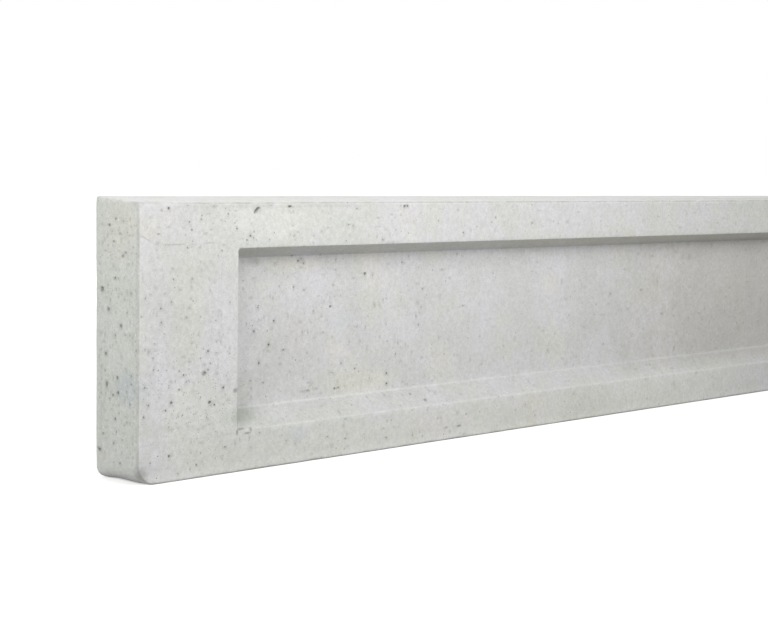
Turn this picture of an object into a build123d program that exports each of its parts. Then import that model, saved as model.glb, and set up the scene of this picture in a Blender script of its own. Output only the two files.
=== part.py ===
from build123d import *
import os

# Precast concrete gravel board, one solid casting, in millimetres.
# X runs along the board, the recessed face looks towards -Y and Z is up.
# The origin is the middle of the underside.

# Overall size of the casting
length = 1830.0
height = 200.0
thickness = 50.0

# Top edge: a level crest along the back, then a slope that sheds water to the front
crest = 3.0
top_fall = 3.5

# Rails and end blocks that frame the recess, measured on the front face
top_rail = 36.5
bottom_rail = 31.0
end_block = 89.0

# Recess, with walls that splay outwards so that the casting leaves its mould
recess_depth = 15.0
top_wall_splay = 7.5
ledge_splay = 14.5
end_wall_splay = 6.0

# Rounded arrises and corners
front_arris = 1.5
back_arris = 0.8
lower_corner = 9.0
upper_corner = 2.0
mouth_arris = 1.0
wall_corner = 2.0
floor_cove = 1.5

# Places worked out from the sizes
half_length = length / 2
back_y = thickness / 2
front_y = -thickness / 2
floor_y = front_y + recess_depth
mouth_half = half_length - end_block
mouth_top = height - top_rail
mouth_bottom = bottom_rail

# An edge counts as lying in a plane when it is this close to it
tolerance = 0.01


def run_along(points):
    """A section in Y and Z, given by its corners, run from end to end of the board."""
    section = make_face(Polyline(*points, close=True))
    return extrude(Plane.YZ.offset(-half_length) * section, amount=length, dir=(1, 0, 0))


def blank():
    """The casting without its recess."""
    return run_along([
        (front_y, 0),
        (back_y, 0),
        (back_y, height),
        (back_y - crest, height),
        (front_y, height - top_fall),
    ])


def recess():
    """The space inside the recess. It runs on past the front face, to cut it cleanly."""
    past_y = front_y - recess_depth
    from_the_side = run_along([
        (past_y, mouth_bottom - ledge_splay),
        (floor_y, mouth_bottom + ledge_splay),
        (floor_y, mouth_top - top_wall_splay),
        (past_y, mouth_top + top_wall_splay),
    ])
    plan = Polyline(
        (-mouth_half - end_wall_splay, past_y),
        (mouth_half + end_wall_splay, past_y),
        (mouth_half - end_wall_splay, floor_y),
        (-mouth_half + end_wall_splay, floor_y),
        close=True,
    )
    from_above = extrude(make_face(plan), amount=height, dir=(0, 0, 1))
    space = from_the_side & from_above
    between_walls = [edge for edge in space.edges() if edge.bounding_box().size.Y > tolerance]
    space = fillet(between_walls, wall_corner)
    return fillet(edges_in_plane(space, floor_y), floor_cove)


def edges_in_plane(solid, y):
    """The edges that lie in the plane across the thickness at y."""
    chosen = []
    for edge in solid.edges():
        box = edge.bounding_box()
        if abs(box.min.Y - y) < tolerance and abs(box.max.Y - y) < tolerance:
            chosen.append(edge)
    return chosen


def end_edges(solid):
    """The edges of the two end faces that run across the thickness, as (lower, upper)."""
    lower = []
    upper = []
    for edge in solid.edges():
        middle = edge.center()
        on_end = abs(abs(middle.X) - half_length) < tolerance
        across = edge.bounding_box().size.Y > tolerance
        if on_end and across and middle.Z < height / 2:
            lower.append(edge)
        elif on_end and across:
            upper.append(edge)
    return lower, upper


def gravel_board():
    """The whole casting: rounded corners, worn arrises and the splayed recess."""
    board = blank()
    board = fillet(end_edges(board)[0], lower_corner)
    board = fillet(end_edges(board)[1], upper_corner)
    board = fillet(edges_in_plane(board, front_y), front_arris)
    board = fillet(edges_in_plane(board, back_y), back_arris)
    outline = edges_in_plane(board, front_y)
    board = board - recess()
    mouth = [edge for edge in edges_in_plane(board, front_y) if edge not in outline]
    return fillet(mouth, mouth_arris)


os.makedirs("parts", exist_ok=True)
export_step(gravel_board(), "parts/gravel_board.step")
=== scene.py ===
"""Looks of a precast concrete gravel board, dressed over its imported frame.

The casting is one closed skin. Its front is a sheet of cells that follows the rails, the
splayed recess and the rounded arrises, its rim carries the slope of the top edge, and its
back is a coarser sheet. Air pits are real hollows let into the cells. Then the whole skin
is made slightly uneven, its arrises are worn, the feet of its ends are rubbed back, and
small pieces are broken off.
Metres, in the row frame: X along the board, the recess towards -Y, Z up.
"""
import math
import random

import bpy
import numpy as np
from mathutils import Matrix, Vector, noise
from mathutils.geometry import delaunay_2d_cdt


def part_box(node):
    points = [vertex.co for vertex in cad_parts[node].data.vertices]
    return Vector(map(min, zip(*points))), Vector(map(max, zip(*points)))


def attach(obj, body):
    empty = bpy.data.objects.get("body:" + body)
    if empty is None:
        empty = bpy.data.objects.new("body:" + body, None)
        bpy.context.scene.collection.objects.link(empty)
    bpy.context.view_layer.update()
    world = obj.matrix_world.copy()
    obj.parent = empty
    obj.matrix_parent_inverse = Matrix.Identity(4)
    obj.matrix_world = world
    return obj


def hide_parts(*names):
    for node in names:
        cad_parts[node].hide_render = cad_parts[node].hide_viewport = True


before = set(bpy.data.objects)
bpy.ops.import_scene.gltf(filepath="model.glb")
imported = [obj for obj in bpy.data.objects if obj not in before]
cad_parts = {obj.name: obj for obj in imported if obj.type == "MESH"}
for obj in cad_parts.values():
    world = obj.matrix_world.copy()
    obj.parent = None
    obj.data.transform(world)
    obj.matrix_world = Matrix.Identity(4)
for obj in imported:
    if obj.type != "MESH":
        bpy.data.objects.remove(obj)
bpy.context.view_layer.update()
BOARD_LOW, BOARD_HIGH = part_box("gravel_board")

bl_info = {
    "name": "Concrete gravel board",
    "version": (1, 0, 0),
    "blender": (4, 5, 0),
    "location": "3D View > Sidebar > Gravel board",
    "description": "Builds a precast concrete gravel board with its finish, and a plain stage for it",
    "category": "Object",
}

MM = 0.001
PIECE = "cast_board"

# Where the recess walls get their lines of cells, as shares of the recess depth. A line's level is
# its place in this list
WALL_SHARES = (0, .002, .006, .014, .026, .045, .1, .23, .4, .57, .73, .87, .935, .965, .985, .996, 1)
LAST_LEVEL = len(WALL_SHARES) - 1
OUTSIDE = -1
# How strongly the arris round the recess is rubbed at the first levels, the level where the painted
# shade of the walls starts, how many levels the pale crease takes, and the levels of the ledge that lie on a plane
MOUTH_RUB = (0.35, 0.8, 1.0, 1.0, 0.8, 0.35)
WALL_START = 3
CREASE_LEVELS = 4
LEDGE_FROM, LEDGE_TO = 6, 11

# Steps between the skin's lines: on the near half, on the far half, up the front and across the rim
NEAR_STEP, NEAR_PANEL_STEP, MIDDLE_STEP = 2.7 * MM, 2.9 * MM, 3.9 * MM
NEAR_REACH = 300 * MM
FAR_STEP, FAR_PANEL_STEP = 5.5 * MM, 7.5 * MM
ROW_STEP, PANEL_ROW_STEP = 3 * MM, 3.4 * MM
RIM_STEP = 3.3 * MM
FIRST_LINES = 3 * MM
# The slope of the top edge fades out of the lines below it between these depths
SLOPE_FULL, SLOPE_GONE = 7 * MM, 28 * MM

# What the mesh carries for the material, point by point
MARKS = ("arris", "mouth", "crease", "wall", "sunk", "end_face", "pit", "rear")

# Air pits that stand out at the visible end, in millimetres. On the end face:
# (back from the front, up, half width across the face, half height, depth)
END_PITS = (
    (42.2, 135.1, 1.8, 1.8, 1.7), (36.7, 68.3, 1.25, 2.3, 1.6), (34.8, 121.2, 1.5, 1.4, 1.3),
    (45.1, 20.8, 1.2, 1.4, 1.4), (23.4, 63.3, 1.4, 1.4, 1.3), (20.0, 110.5, 1.45, 1.4, 1.1),
    (24.2, 73.9, 1.2, 1.4, 1.2), (37.8, 89.6, 1.3, 1.3, 1.2), (33.5, 180.2, 1.1, 1.15, 1.1),
    (26.9, 143.4, 1.15, 1.05, 1.1), (18.0, 159.2, 1.2, 1.0, 0.8), (26.7, 44.8, 1.0, 1.1, 0.8),
    (21.6, 174.7, 1.1, 0.9, 0.5), (28.5, 27.2, 1.0, 1.0, 0.7), (29.3, 61.2, 0.9, 1.0, 0.9),
    (14.6, 161.7, 0.9, 1.0, 0.6), (41.2, 32.7, 0.9, 0.9, 0.7), (38.8, 77.8, 1.0, 0.8, 0.4),
    (9.7, 56.8, 0.9, 0.9, 0.5), (26.3, 184.7, 0.9, 0.8, 0.7), (13.0, 120.0, 0.8, 0.9, 0.4),
    (28.6, 169.0, 0.9, 0.8, 0.6), (14.7, 80.7, 0.8, 0.9, 0.4), (18.5, 30.9, 0.8, 0.8, 0.4),
    (21.2, 14.1, 0.8, 0.8, 0.6), (8.3, 134.0, 0.7, 0.8, 0.5), (26.8, 103.6, 0.7, 0.8, 0.5),
)
# On the front: (along the board, up, half width, half height, depth)
FRONT_PITS = (
    (-856.3, 75.7, 0.9, 0.8, 0.8), (-851.8, 53.7, 1.4, 1.3, 1.2), (-886.2, 56.6, 1.1, 1.15, 1.2),
    (-888.1, 18.8, 1.1, 1.1, 1.1), (-889.2, 192.4, 1.05, 1.0, 1.2), (-839.3, 63.4, 0.95, 0.95, 1.0),
    (-853.6, 77.3, 0.6, 0.9, 0.7), (-853.7, 90.8, 0.9, 0.9, 0.9), (-847.6, 51.7, 0.85, 0.85, 0.9),
    (-834.0, 124.7, 0.9, 0.8, 0.4), (-879.4, 65.2, 0.8, 0.8, 0.7), (-901.7, 80.7, 0.9, 0.8, 0.5),
    (-879.4, 78.2, 0.8, 0.8, 0.35), (-895.4, 113.4, 0.8, 0.8, 0.4), (-891.4, 51.4, 0.8, 0.8, 0.6),
    (-895.8, 123.2, 0.7, 0.8, 0.6), (-906.2, 56.3, 0.8, 0.7, 0.5), (-828.0, 177.7, 0.8, 0.7, 0.6),
    (-872.9, 115.7, 0.8, 0.7, 0.4), (-904.5, 15.7, 0.8, 0.7, 0.4), (-909.0, 130.7, 0.7, 0.8, 0.4),
    (-869.0, 177.4, 0.7, 0.8, 0.6), (-851.5, 81.8, 0.7, 0.7, 0.5), (-871.1, 182.8, 0.7, 0.7, 0.5),
    (-875.6, 75.3, 0.7, 0.8, 0.7), (-886.6, 127.4, 0.7, 0.7, 0.4), (-841.6, 162.1, 0.7, 0.7, 0.4),
    (-910.2, 48.6, 0.7, 0.7, 0.6),
    (-777.3, 193.2, 1.9, 1.0, 1.3), (-655.9, 192.7, 1.3, 1.2, 1.1), (-652.9, 192.9, 0.9, 1.0, 0.9),
    (-499.0, 177.6, 1.1, 1.1, 0.6), (-815.1, 172.1, 0.95, 0.95, 0.8), (-712.1, 178.0, 0.8, 0.7, 0.4),
    (-685.2, 184.1, 0.8, 0.7, 0.4), (-546.6, 182.9, 0.8, 0.8, 0.5), (-586.7, 170.7, 0.8, 0.75, 0.8),
    (-716.7, 178.9, 0.7, 0.7, 0.6),
    (-684.1, 139.4, 1.3, 1.3, 1.2), (-715.4, 50.9, 1.15, 1.0, 0.8), (-711.5, 51.2, 0.8, 0.8, 0.8),
    (-721.2, 115.3, 1.05, 1.1, 1.3), (-783.7, 89.6, 1.05, 1.1, 1.4), (-743.6, 51.6, 1.2, 0.9, 0.4),
    (-755.0, 151.6, 1.1, 0.95, 0.8), (-658.5, 58.5, 1.0, 1.0, 1.0), (-788.9, 61.2, 1.0, 0.8, 0.4),
    (-778.8, 107.2, 0.9, 0.9, 1.0), (-749.5, 149.6, 0.7, 0.7, 0.6), (-818.5, 169.2, 0.6, 0.6, 0.6),
    (-812.2, 170.6, 0.55, 0.55, 0.5), (-822.3, 167.6, 0.5, 0.5, 0.5), (-751.8, 153.0, 0.6, 0.6, 0.6),
    (-798.2, 100.4, 0.9, 0.9, 0.8),
    (-642.7, 147.2, 0.9, 0.9, 0.6), (-708.9, 70.0, 0.9, 0.8, 0.5), (-658.2, 50.2, 0.9, 0.9, 1.0),
    (-768.9, 84.6, 0.85, 0.85, 0.7), (-793.1, 76.4, 0.8, 0.9, 0.9), (-801.8, 63.5, 0.9, 0.8, 0.4),
    (-622.1, 95.6, 0.85, 0.85, 0.5), (-794.7, 118.0, 0.8, 0.8, 0.5), (-759.6, 131.9, 0.8, 0.8, 0.6),
    (-648.3, 73.3, 0.8, 0.8, 0.5), (-595.3, 139.9, 0.8, 0.8, 0.5), (-568.8, 108.6, 0.8, 0.8, 0.5),
    (-366.6, 110.3, 0.8, 0.7, 0.6), (-618.2, 125.0, 0.7, 0.7, 0.6),
    (-587.0, 10.4, 2.6, 1.05, 0.8), (-837.6, 20.0, 0.75, 0.7, 0.5), (-717.4, 13.6, 0.75, 0.7, 0.5),
    (-863.9, 9.9, 0.7, 0.7, 0.5), (-578.5, 19.6, 0.8, 0.7, 0.5), (-736.6, 17.0, 0.6, 0.6, 0.5),
    (-623.7, 35.0, 2.0, 1.0, 0.8), (-744.6, 43.6, 1.0, 0.9, 0.5), (-361.4, 44.9, 0.9, 0.8, 0.4),
)
# A long leaning pit near the top edge, and its lean
LEANING_PIT = (-809.3, 190.7, 3.7, 1.45, 1.9)
LEAN = math.radians(40)
# How many smaller pits are scattered on each side
SCATTERED_PITS = {"front": 1060, "near end": 150, "far end": 80, "top": 80, "underside": 80}
# Pits below the first size get few corners, and those above the second get many
SMALL_PIT, LARGE_PIT = 0.5 * MM, 0.9 * MM
# Points of a pit and its cells that are this close, in millimetres, count as one
SAME_PLACE = 1e-5
# Room that a pit needs past its own size, for its ragged rim
RIM_SPARE, RIM_ROOM = 1.15, 0.12 * MM

# Soft lamps: name, power in watts, size and place in metres
LAMPS = (
    ("key", 14.8, 1.0, (-2.3, -0.8, 0.9)), ("upper", 9.2, 0.9, (-0.6, -1.0, 1.2)),
    ("near_end", 5.8, 0.9, (-2.3, 0.1, 0.5)), ("low", 1.8, 0.5, (-0.7, -0.7, 0.45)),
    ("far_front", 3.0, 0.9, (0.8, -1.1, 1.2)), ("far_end", 5.0, 0.9, (2.2, -0.3, 0.8)),
    ("rear", 24.1, 1.8, (0.2, 1.8, 1.2)), ("far_fill", 7.0, 0.8, (2.3, 0.50, 0.5)),
)
LAMP_TARGET = (-0.6, 0.0, 0.12)
# The floor: its size in metres, the colour that lights the board from below, and the distances
# between which it turns to plain white for the camera
FLOOR_SIZE = 80.0
FLOOR_AS_REFLECTOR = (0.42, 0.42, 0.41)
GLOW_REACH = (1.2, 3.0)

# The foot of each end is rubbed back by up to this much within this reach, and its front corner
# by up to the second measure more
FOOT_WEAR, FOOT_REACH = 1.8 * MM, 15 * MM
CORNER_WEAR, CORNER_REACH = 2.0 * MM, 15 * MM

# Small breaks at the visible end: where each bite is centred and how far it reaches, in millimetres
KNOWN_BITES = (
    (-825.6, -26.6, 29.6, 2.5), (-822.4, -26.3, 28.4, 2.1), (-817.6, -26.0, 30.9, 2.0),
    (-814.2, -25.6, 28.6, 1.9), (-915.9, -26.6, 120.0, 2.4), (-915.7, -26.5, 61.0, 2.3),
    (-916.0, -26.2, 88.0, 2.0), (-826.5, -26.2, 59.4, 2.2), (-700.0, -26.6, 163.4, 2.3),
)
SCATTERED_BITES = 46


def length_property(name, description, default):
    """A size in metres that is shown in the scene's own unit."""
    return bpy.props.FloatProperty(
        name=name, description=description, default=default, min=0, precision=4, subtype="DISTANCE", unit="LENGTH")


def colour_property(name, description, default):
    """A colour as the material uses it."""
    return bpy.props.FloatVectorProperty(
        name=name, description=description, default=default, min=0, max=1, size=3, subtype="COLOR")


def share_property(name, description, default, highest=1.0):
    """A plain number from nothing to its highest value."""
    return bpy.props.FloatProperty(
        name=name, description=description, default=default, min=0, max=highest, subtype="FACTOR")


class BoardSizes(bpy.types.PropertyGroup):
    """Sizes of the casting."""
    length: length_property("Length", "Along the board", BOARD_HIGH.x - BOARD_LOW.x)
    height: length_property("Height", "From the underside to the crest", BOARD_HIGH.z - BOARD_LOW.z)
    thickness: length_property("Thickness", "From the front face to the back", BOARD_HIGH.y - BOARD_LOW.y)
    crest: length_property("Crest", "Level strip along the back of the top edge", 3 * MM)
    top_fall: length_property("Top fall", "How far the top edge slopes down to the front", 3.5 * MM)
    top_rail: length_property("Top rail", "Plain rail above the recess", 36.5 * MM)
    bottom_rail: length_property("Bottom rail", "Plain rail below the recess", 31 * MM)
    end_block: length_property("End block", "Plain block at each end", 89 * MM)
    recess_depth: length_property("Recess depth", "How far the panel is sunk", 15 * MM)
    top_splay: length_property("Top wall splay", "Lean of the recess's upper wall", 7.5 * MM)
    ledge_splay: length_property("Ledge splay", "Lean of the sloping ledge under the panel", 14.5 * MM)
    end_splay: length_property("End wall splay", "Lean of the recess's end walls", 6 * MM)
    front_arris: length_property("Front arris", "Rounding of the front's outer arris", 1.5 * MM)
    back_arris: length_property("Back arris", "Rounding of the back's outer arris", 0.8 * MM)
    lower_corner: length_property("Lower corners", "Rounding of the two lower corners", 9 * MM)
    upper_corner: length_property("Upper corners", "Rounding of the two upper corners", 2 * MM)
    mouth_arris: length_property("Recess arris", "Rounding of the arris round the recess", 1 * MM)
    wall_corner: length_property("Recess corners", "Rounding where two recess walls meet", 2 * MM)
    floor_cove: length_property("Cove", "Hollow rounding at the foot of the recess walls", 1.5 * MM)


class ConcreteFinish(bpy.types.PropertyGroup):
    """Colours, unevenness and pits of the concrete."""
    base: colour_property("Concrete", "Colour of the cast faces", (0.662, 0.671, 0.640))
    end: colour_property("End faces", "Colour of the two ends", (0.640, 0.664, 0.612))
    lilac: colour_property("Cool bloom", "Cool grey patches", (0.664, 0.656, 0.682))
    straw: colour_property("Warm bloom", "Pale straw patches", (0.684, 0.676, 0.604))
    sunk: colour_property("Sunk panel", "Colour of the sunk panel", (0.640, 0.641, 0.638))
    pore: colour_property("Pores", "Colour inside pores and pits", (0.205, 0.210, 0.195))
    joint: colour_property("Joint lines", "Colour of mould lines and worn outer arrises", (0.40, 0.41, 0.39))
    pale: colour_property("Pale lines", "Colour of the rubbed arris and crease of the recess", (0.76, 0.77, 0.745))
    rust: colour_property("Brown stain", "Colour of the small brown stain", (0.37, 0.31, 0.26))
    ochre: colour_property("Yellow stain", "Colour of the faint yellowish stains", (0.57, 0.54, 0.45))
    # Also used for the painted shadow at the lower left corner of the recess.
    moss_and_shadow: colour_property("Green stain and shadow", "Colour of the greenish patches", (0.47, 0.50, 0.45))
    # Also used for painted shade and shadow on the sunk panel.
    dull: colour_property("Dull patches", "Colour of the duller parts of the panel", (0.560, 0.550, 0.520))
    dirt: colour_property("Dirt", "Colour of dirt on arrises and in breaks", (0.38, 0.38, 0.36))
    blue: colour_property("Blue stain", "Colour of the bluish patches", (0.50, 0.56, 0.61))
    mottling: share_property("Mottling", "Strength of the blooms", 0.75)
    grain: share_property("Grain", "Strength of the fine sandy grain", 0.88)
    # Painted shade: the colour is made darker towards the foot and lighter towards the top, as the light falls.
    painted_height_shade: share_property("Painted height shade", "How much darker the foot of the board is than its top", 0.10)
    # Painted shade: how much darker the recess walls and the ledge are made.
    painted_wall_shade: share_property("Painted wall shade", "How much darker the recess walls are", 0.14)
    unevenness: length_property("Unevenness", "How far the faces wander from flat", 0.28 * MM)
    wear: length_property("Arris wear", "How far the arrises are worn back", 0.45 * MM)
    pits: bpy.props.IntProperty(
        name="Pits", description="Scattered air pits on the front and the rim",
        default=sum(SCATTERED_PITS.values()), min=0)
    back_pits: bpy.props.IntProperty(name="Back pits", description="Air pits on the back", default=170, min=0)


class StageSettings(bpy.types.PropertyGroup):
    """Lamps, surroundings and camera."""
    lamps: bpy.props.FloatProperty(
        name="Lamps", description="Brightness of all the lamps together", default=1, min=0, subtype="FACTOR")
    surround: share_property("Surround", "Even light from all sides", 0.15, 2.0)
    floor: colour_property("Floor", "Colour of the floor", (0.80, 0.80, 0.79))
    lens: bpy.props.FloatProperty(name="Lens", description="Focal length in millimetres", default=77.42)
    yaw: bpy.props.FloatProperty(
        name="Turn", description="Direction of view from the board's length", default=math.radians(44.968),
        subtype="ANGLE", unit="ROTATION")
    pitch: bpy.props.FloatProperty(
        name="Tilt", description="How far the camera looks down", default=math.radians(5.253),
        subtype="ANGLE", unit="ROTATION")
    roll: bpy.props.FloatProperty(
        name="Roll", description="Roll of the camera", default=math.radians(0.928), subtype="ANGLE", unit="ROTATION")
    place: bpy.props.FloatVectorProperty(
        name="Camera place", description="Where the camera stands", default=(-1.5921, -0.9389, 0.2225),
        size=3, subtype="XYZ", unit="LENGTH")


# ---------------------------------------------------------------- the skin's cells


def spread(start, end, step):
    """Even stations between start and end, both left out, about a step apart."""
    count = max(1, round((end - start) / step))
    return [start + (end - start) * n / count for n in range(1, count)]


def ease(value, low, high):
    """0 at low, 1 at high, and a smooth turn between them."""
    t = min(1.0, max(0.0, (value - low) / (high - low)))
    return t * t * (3 - 2 * t)


def wall_run(share, splay, sizes):
    """How far inside the mouth a recess wall is at a share of the depth, with its arris and cove."""
    depth, arris, cove = sizes.recess_depth, sizes.mouth_arris, sizes.floor_cove
    sunk = share * depth
    lean = math.atan2(depth, splay)
    if sunk <= arris * (1 - math.cos(lean)):
        return arris * (math.sin(math.acos(1 - sunk / arris)) - math.tan(lean / 2))
    if sunk >= depth - cove * (1 - math.cos(lean)):
        return splay + cove * (math.tan(lean / 2) - math.sin(math.acos(1 - (depth - sunk) / cove)))
    return splay * share


def edge_lines(arris, corner):
    """Distances from an outer edge to the first lines of cells."""
    near = [0, arris / 3, arris * 2 / 3, arris, FIRST_LINES]
    return near + [FIRST_LINES + (corner - FIRST_LINES) * n / 3 for n in (1, 2, 3)]


def half_lines(first, mouth, splay, middle, plain_step, floor_steps, sizes):
    """(distance from the edge, recess level) of the lines from one edge of the front to its middle."""
    walls = [(mouth + wall_run(share, splay, sizes), level) for level, share in enumerate(WALL_SHARES)]
    lines = [(at, OUTSIDE) for at in first]
    lines += [(at, OUTSIDE) for at in spread(first[-1], walls[0][0], plain_step)]
    lines += walls
    start = walls[-1][0]
    for reach, step in floor_steps:
        end = min(middle, reach)
        if end > start:
            lines += [(at, LAST_LEVEL) for at in spread(start, end, step)]
            if end < middle:
                lines.append((end, LAST_LEVEL))
            start = end
    return lines


def column_lines(sizes):
    """All (x, level) columns of the front. They lie closer on the near half than on the far one."""
    first = edge_lines(sizes.front_arris, sizes.lower_corner)
    middle = sizes.length / 2
    near = half_lines(first, sizes.end_block, sizes.end_splay, middle, NEAR_STEP,
                      [(NEAR_REACH, NEAR_PANEL_STEP), (middle, MIDDLE_STEP)], sizes)
    far = half_lines(first, sizes.end_block, sizes.end_splay, middle, FAR_STEP, [(middle, FAR_PANEL_STEP)], sizes)
    lines = near + [(middle, LAST_LEVEL)] + [(sizes.length - at, level) for at, level in reversed(far)]
    return even_count(lines)


def row_lines(sizes):
    """All (z, level) rows of the front."""
    middle = sizes.height / 2
    first = edge_lines(sizes.front_arris, sizes.lower_corner)
    floor_steps = [(middle, PANEL_ROW_STEP)]
    lower = half_lines(first, sizes.bottom_rail, sizes.ledge_splay, middle, ROW_STEP, floor_steps, sizes)
    upper = half_lines(first, sizes.top_rail, sizes.top_splay, middle, ROW_STEP, floor_steps, sizes)
    lines = lower + [(middle, LAST_LEVEL)] + [(sizes.height - at, level) for at, level in reversed(upper)]
    return even_count(lines)


def even_count(lines):
    """The same lines, with one more on the panel where that makes the number of cells even."""
    if len(lines) % 2 == 0:
        at = len(lines) // 2
        between = (lines[at - 1][0] + lines[at][0]) / 2
        lines = lines[:at] + [(between, LAST_LEVEL)] + lines[at:]
    return lines


def turn_arris(distance, radius):
    """(distance along the face, fall below the face) of a line that is this far from a rounded arris."""
    if distance >= radius:
        return distance, 0.0
    angle = math.pi / 4 * (1 + distance / radius)
    return radius * (1 - math.cos(angle)), radius * (1 - math.sin(angle))


class Skin:
    """Points and faces of the casting, with what each point is."""

    def __init__(self, sizes):
        self.sizes = sizes
        self.points = []
        self.out = []
        self.marks = {name: [] for name in MARKS}
        self.faces = []
        self.rims = []

    def add(self, point, out, **marks):
        """Adds a point with its outward direction, and returns its number."""
        self.points.append(point)
        self.out.append(out)
        for name, values in self.marks.items():
            values.append(marks.get(name, 0.0))
        return len(self.points) - 1

    def outline(self, x, z, inset):
        """(x, z, outward x, outward z) of a line's end: inside the rounded outline by the inset."""
        s = self.sizes
        dx, dz = min(x, s.length - x), min(z, s.height - z)
        side_x = -1 if x < s.length / 2 else 1
        side_z = -1 if z < s.height / 2 else 1
        corner = s.lower_corner if side_z < 0 else s.upper_corner
        if dx < corner and dz < corner:
            vx, vz = corner - dx, corner - dz
            size = math.hypot(vx, vz)
            ux, uz = vx / size, vz / size
            dx, dz = corner - ux * (corner - inset), corner - uz * (corner - inset)
        elif dx <= dz:
            ux, uz, dx = 1.0, 0.0, inset
        else:
            ux, uz, dz = 0.0, 1.0, inset
        px = side_x * (s.length / 2 - dx)
        pz = dz if side_z < 0 else s.height - dz
        return px, pz, side_x * ux, side_z * uz

    def lower_top(self, y, z):
        """z with the slope of the top edge taken off."""
        s = self.sizes
        before_crest = s.thickness / 2 - s.crest - y
        if before_crest <= 0:
            return z
        drop = s.top_fall * before_crest / (s.thickness - s.crest)
        return z - drop * ease(z, s.height - SLOPE_GONE, s.height - SLOPE_FULL)

    def before_slope(self, y, z):
        """The height on the sheets of a place that the slope brings down to z."""
        height = z
        for _ in range(8):
            height += z - self.lower_top(y, height)
        return height


class Pit:
    """An air pit: a ragged oval hollow at a place on a sheet."""

    def __init__(self, u, v, half_u, half_v, depth, turn, stain):
        self.u, self.v = u, v
        self.half_u, self.half_v = half_u, half_v
        self.depth = depth
        self.turn = turn
        # The stain is painted shade: how dark the inside of the pit is made.
        self.stain = stain
        across, along = math.sin(turn), math.cos(turn)
        self.reach_u = math.hypot(half_u * along, half_v * across) * RIM_SPARE + RIM_ROOM
        self.reach_v = math.hypot(half_u * across, half_v * along) * RIM_SPARE + RIM_ROOM

    def rings(self, shape):
        """(places, share of the depth) of the rings from the rim down to the bottom."""
        size = math.sqrt(self.half_u * self.half_v)
        # each ring's size, its share of the depth, and whether it has all the corners or every second one
        if size < SMALL_PIT:
            count, levels = 6, ((1.0, 0.0, 1), (0.66, 0.8, 1))
        else:
            count, levels = (8 if size < LARGE_PIT else 12), ((1.0, 0.0, 1), (0.80, 0.62, 1), (0.42, 0.95, 2))
        wobble = [shape.uniform(0.86, 1.14) for _ in range(count)]
        across, along = math.sin(self.turn), math.cos(self.turn)
        rings = []
        for scale, sunk, skip in levels:
            ring = []
            for n in range(0, count, skip):
                angle = math.tau * n / count
                x = math.cos(angle) * self.half_u * wobble[n] * scale
                y = math.sin(angle) * self.half_v * wobble[n] * scale
                ring.append((self.u + x * along - y * across, self.v + x * across + y * along))
            rings.append((ring, sunk))
        return rings + [([(self.u, self.v)], 1.0)]


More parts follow.
